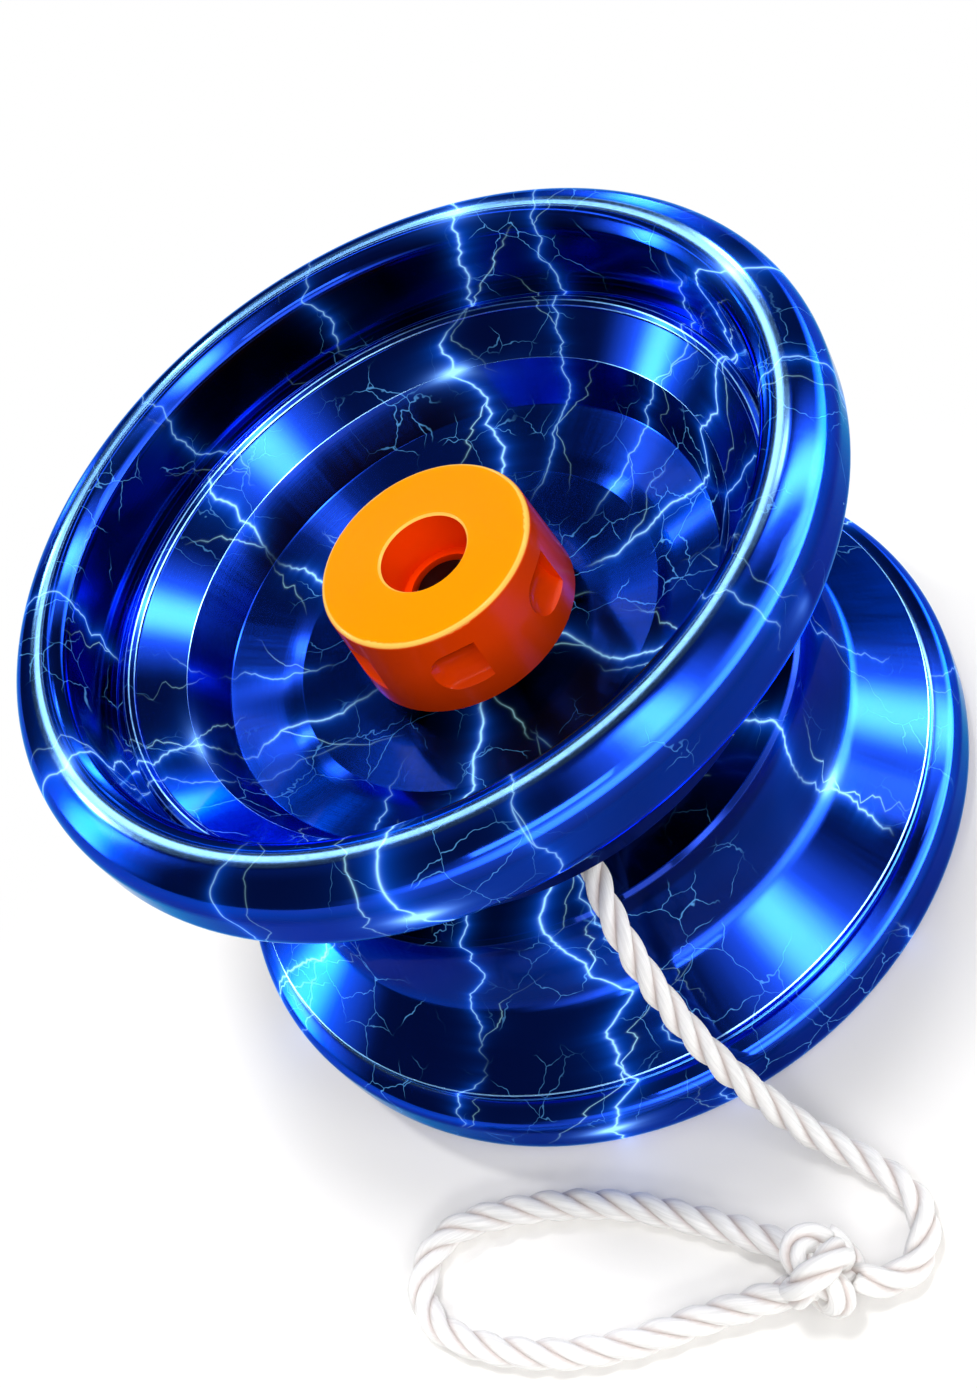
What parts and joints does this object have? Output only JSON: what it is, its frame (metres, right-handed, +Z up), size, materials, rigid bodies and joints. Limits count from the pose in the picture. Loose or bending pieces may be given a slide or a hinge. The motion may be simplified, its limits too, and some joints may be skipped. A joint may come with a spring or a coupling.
{
  "type": "yo-yo",
  "caption": "Ball-bearing yo-yo lying on its rim: two stepped cup halves with rounded rims, free-spinning side knobs and a wound string with a knotted finger loop.",
  "frame": {"origin": "on the surface the yo-yo lies on, in the middle of its lower rim", "axes": "+Z up, along the spin axis, from the lower half to the upper half; the free end of the string lies on the -Y side"},
  "size_m": [0.0581, 0.0721, 0.0372],
  "materials": {
    "anodised_wing": "polished deep blue anodise with a pale crackle print",
    "anodised_rim": "polished deep blue anodise with a pale crackle print",
    "orange_plastic": "glossy moulded plastic",
    "silicone": "matt silicone",
    "turned_steel": "turned",
    "blackened_steel": "blackened, with bright edges",
    "bearing_steel": "ground and polished",
    "cage_brass": "satin",
    "string_cotton": "three-strand twisted cotton, undyed"
  },
  "bodies": {
    "lower_half": {"lower_shell": "anodised_wing", "lower_rim_ring": "anodised_rim", "lower_response_pad": "silicone", "lower_spacer": "turned_steel", "lower_post": "turned_steel", "lower_post_screw": "blackened_steel", "axle": "turned_steel", "main_bearing_inner_race": "bearing_steel", "lower_knob_bearing_inner_race": "bearing_steel"},
    "upper_half": {"upper_shell": "anodised_wing", "upper_rim_ring": "anodised_rim", "upper_response_pad": "silicone", "upper_spacer": "turned_steel", "upper_post": "turned_steel", "upper_post_screw": "blackened_steel", "upper_knob_bearing_inner_race": "bearing_steel"},
    "string": {"main_bearing_outer_race": "bearing_steel", "main_bearing_shields": "bearing_steel", "main_bearing_clips": "bearing_steel", "string_winding": "string_cotton", "string_tail": "string_cotton", "finger_knot": "string_cotton", "finger_loop": "string_cotton"},
    "main_ball_set": {"main_bearing_balls": "bearing_steel", "main_bearing_cage": "cage_brass"},
    "lower_knob_set": {"lower_knob": "orange_plastic", "lower_knob_bearing_outer_race": "bearing_steel", "lower_knob_bearing_shields": "bearing_steel"},
    "lower_knob_ball_set": {"lower_knob_bearing_balls": "bearing_steel", "lower_knob_bearing_cage": "cage_brass"},
    "upper_knob_set": {"upper_knob": "orange_plastic", "upper_knob_bearing_outer_race": "bearing_steel", "upper_knob_bearing_shields": "bearing_steel"},
    "upper_knob_ball_set": {"upper_knob_bearing_balls": "bearing_steel", "upper_knob_bearing_cage": "cage_brass"}
  },
  "joints": [
    {"name": "string_spin", "type": "hinge", "parent": "lower_half", "child": "string", "pos_m": [0, 0, 0.0186], "axis": [0, 0, 1], "continuous": true},
    {"name": "main_balls_orbit", "type": "hinge", "parent": "lower_half", "child": "main_ball_set", "pos_m": [0, 0, 0.0186], "axis": [0, 0, 1], "continuous": true},
    {"name": "upper_half_unscrew", "type": "slide", "parent": "lower_half", "child": "upper_half", "axis": [0, 0, 1], "range_m": [0, 0.015]},
    {"name": "lower_knob_spin", "type": "hinge", "parent": "lower_half", "child": "lower_knob_set", "pos_m": [0, 0, 0.01101], "axis": [0, 0, 1], "continuous": true},
    {"name": "lower_knob_balls_orbit", "type": "hinge", "parent": "lower_half", "child": "lower_knob_ball_set", "pos_m": [0, 0, 0.01101], "axis": [0, 0, 1], "continuous": true},
    {"name": "upper_knob_spin", "type": "hinge", "parent": "upper_half", "child": "upper_knob_set", "pos_m": [0, 0, 0.02619], "axis": [0, 0, 1], "continuous": true},
    {"name": "upper_knob_balls_orbit", "type": "hinge", "parent": "upper_half", "child": "upper_knob_ball_set", "pos_m": [0, 0, 0.02619], "axis": [0, 0, 1], "continuous": true}
  ],
  "couplings": [
    {"joint": "main_balls_orbit", "follows": "string_spin", "ratio": 0.5829},
    {"joint": "lower_knob_balls_orbit", "follows": "lower_knob_spin", "ratio": 0.605},
    {"joint": "upper_knob_balls_orbit", "follows": "upper_knob_spin", "ratio": 0.605}
  ]
}
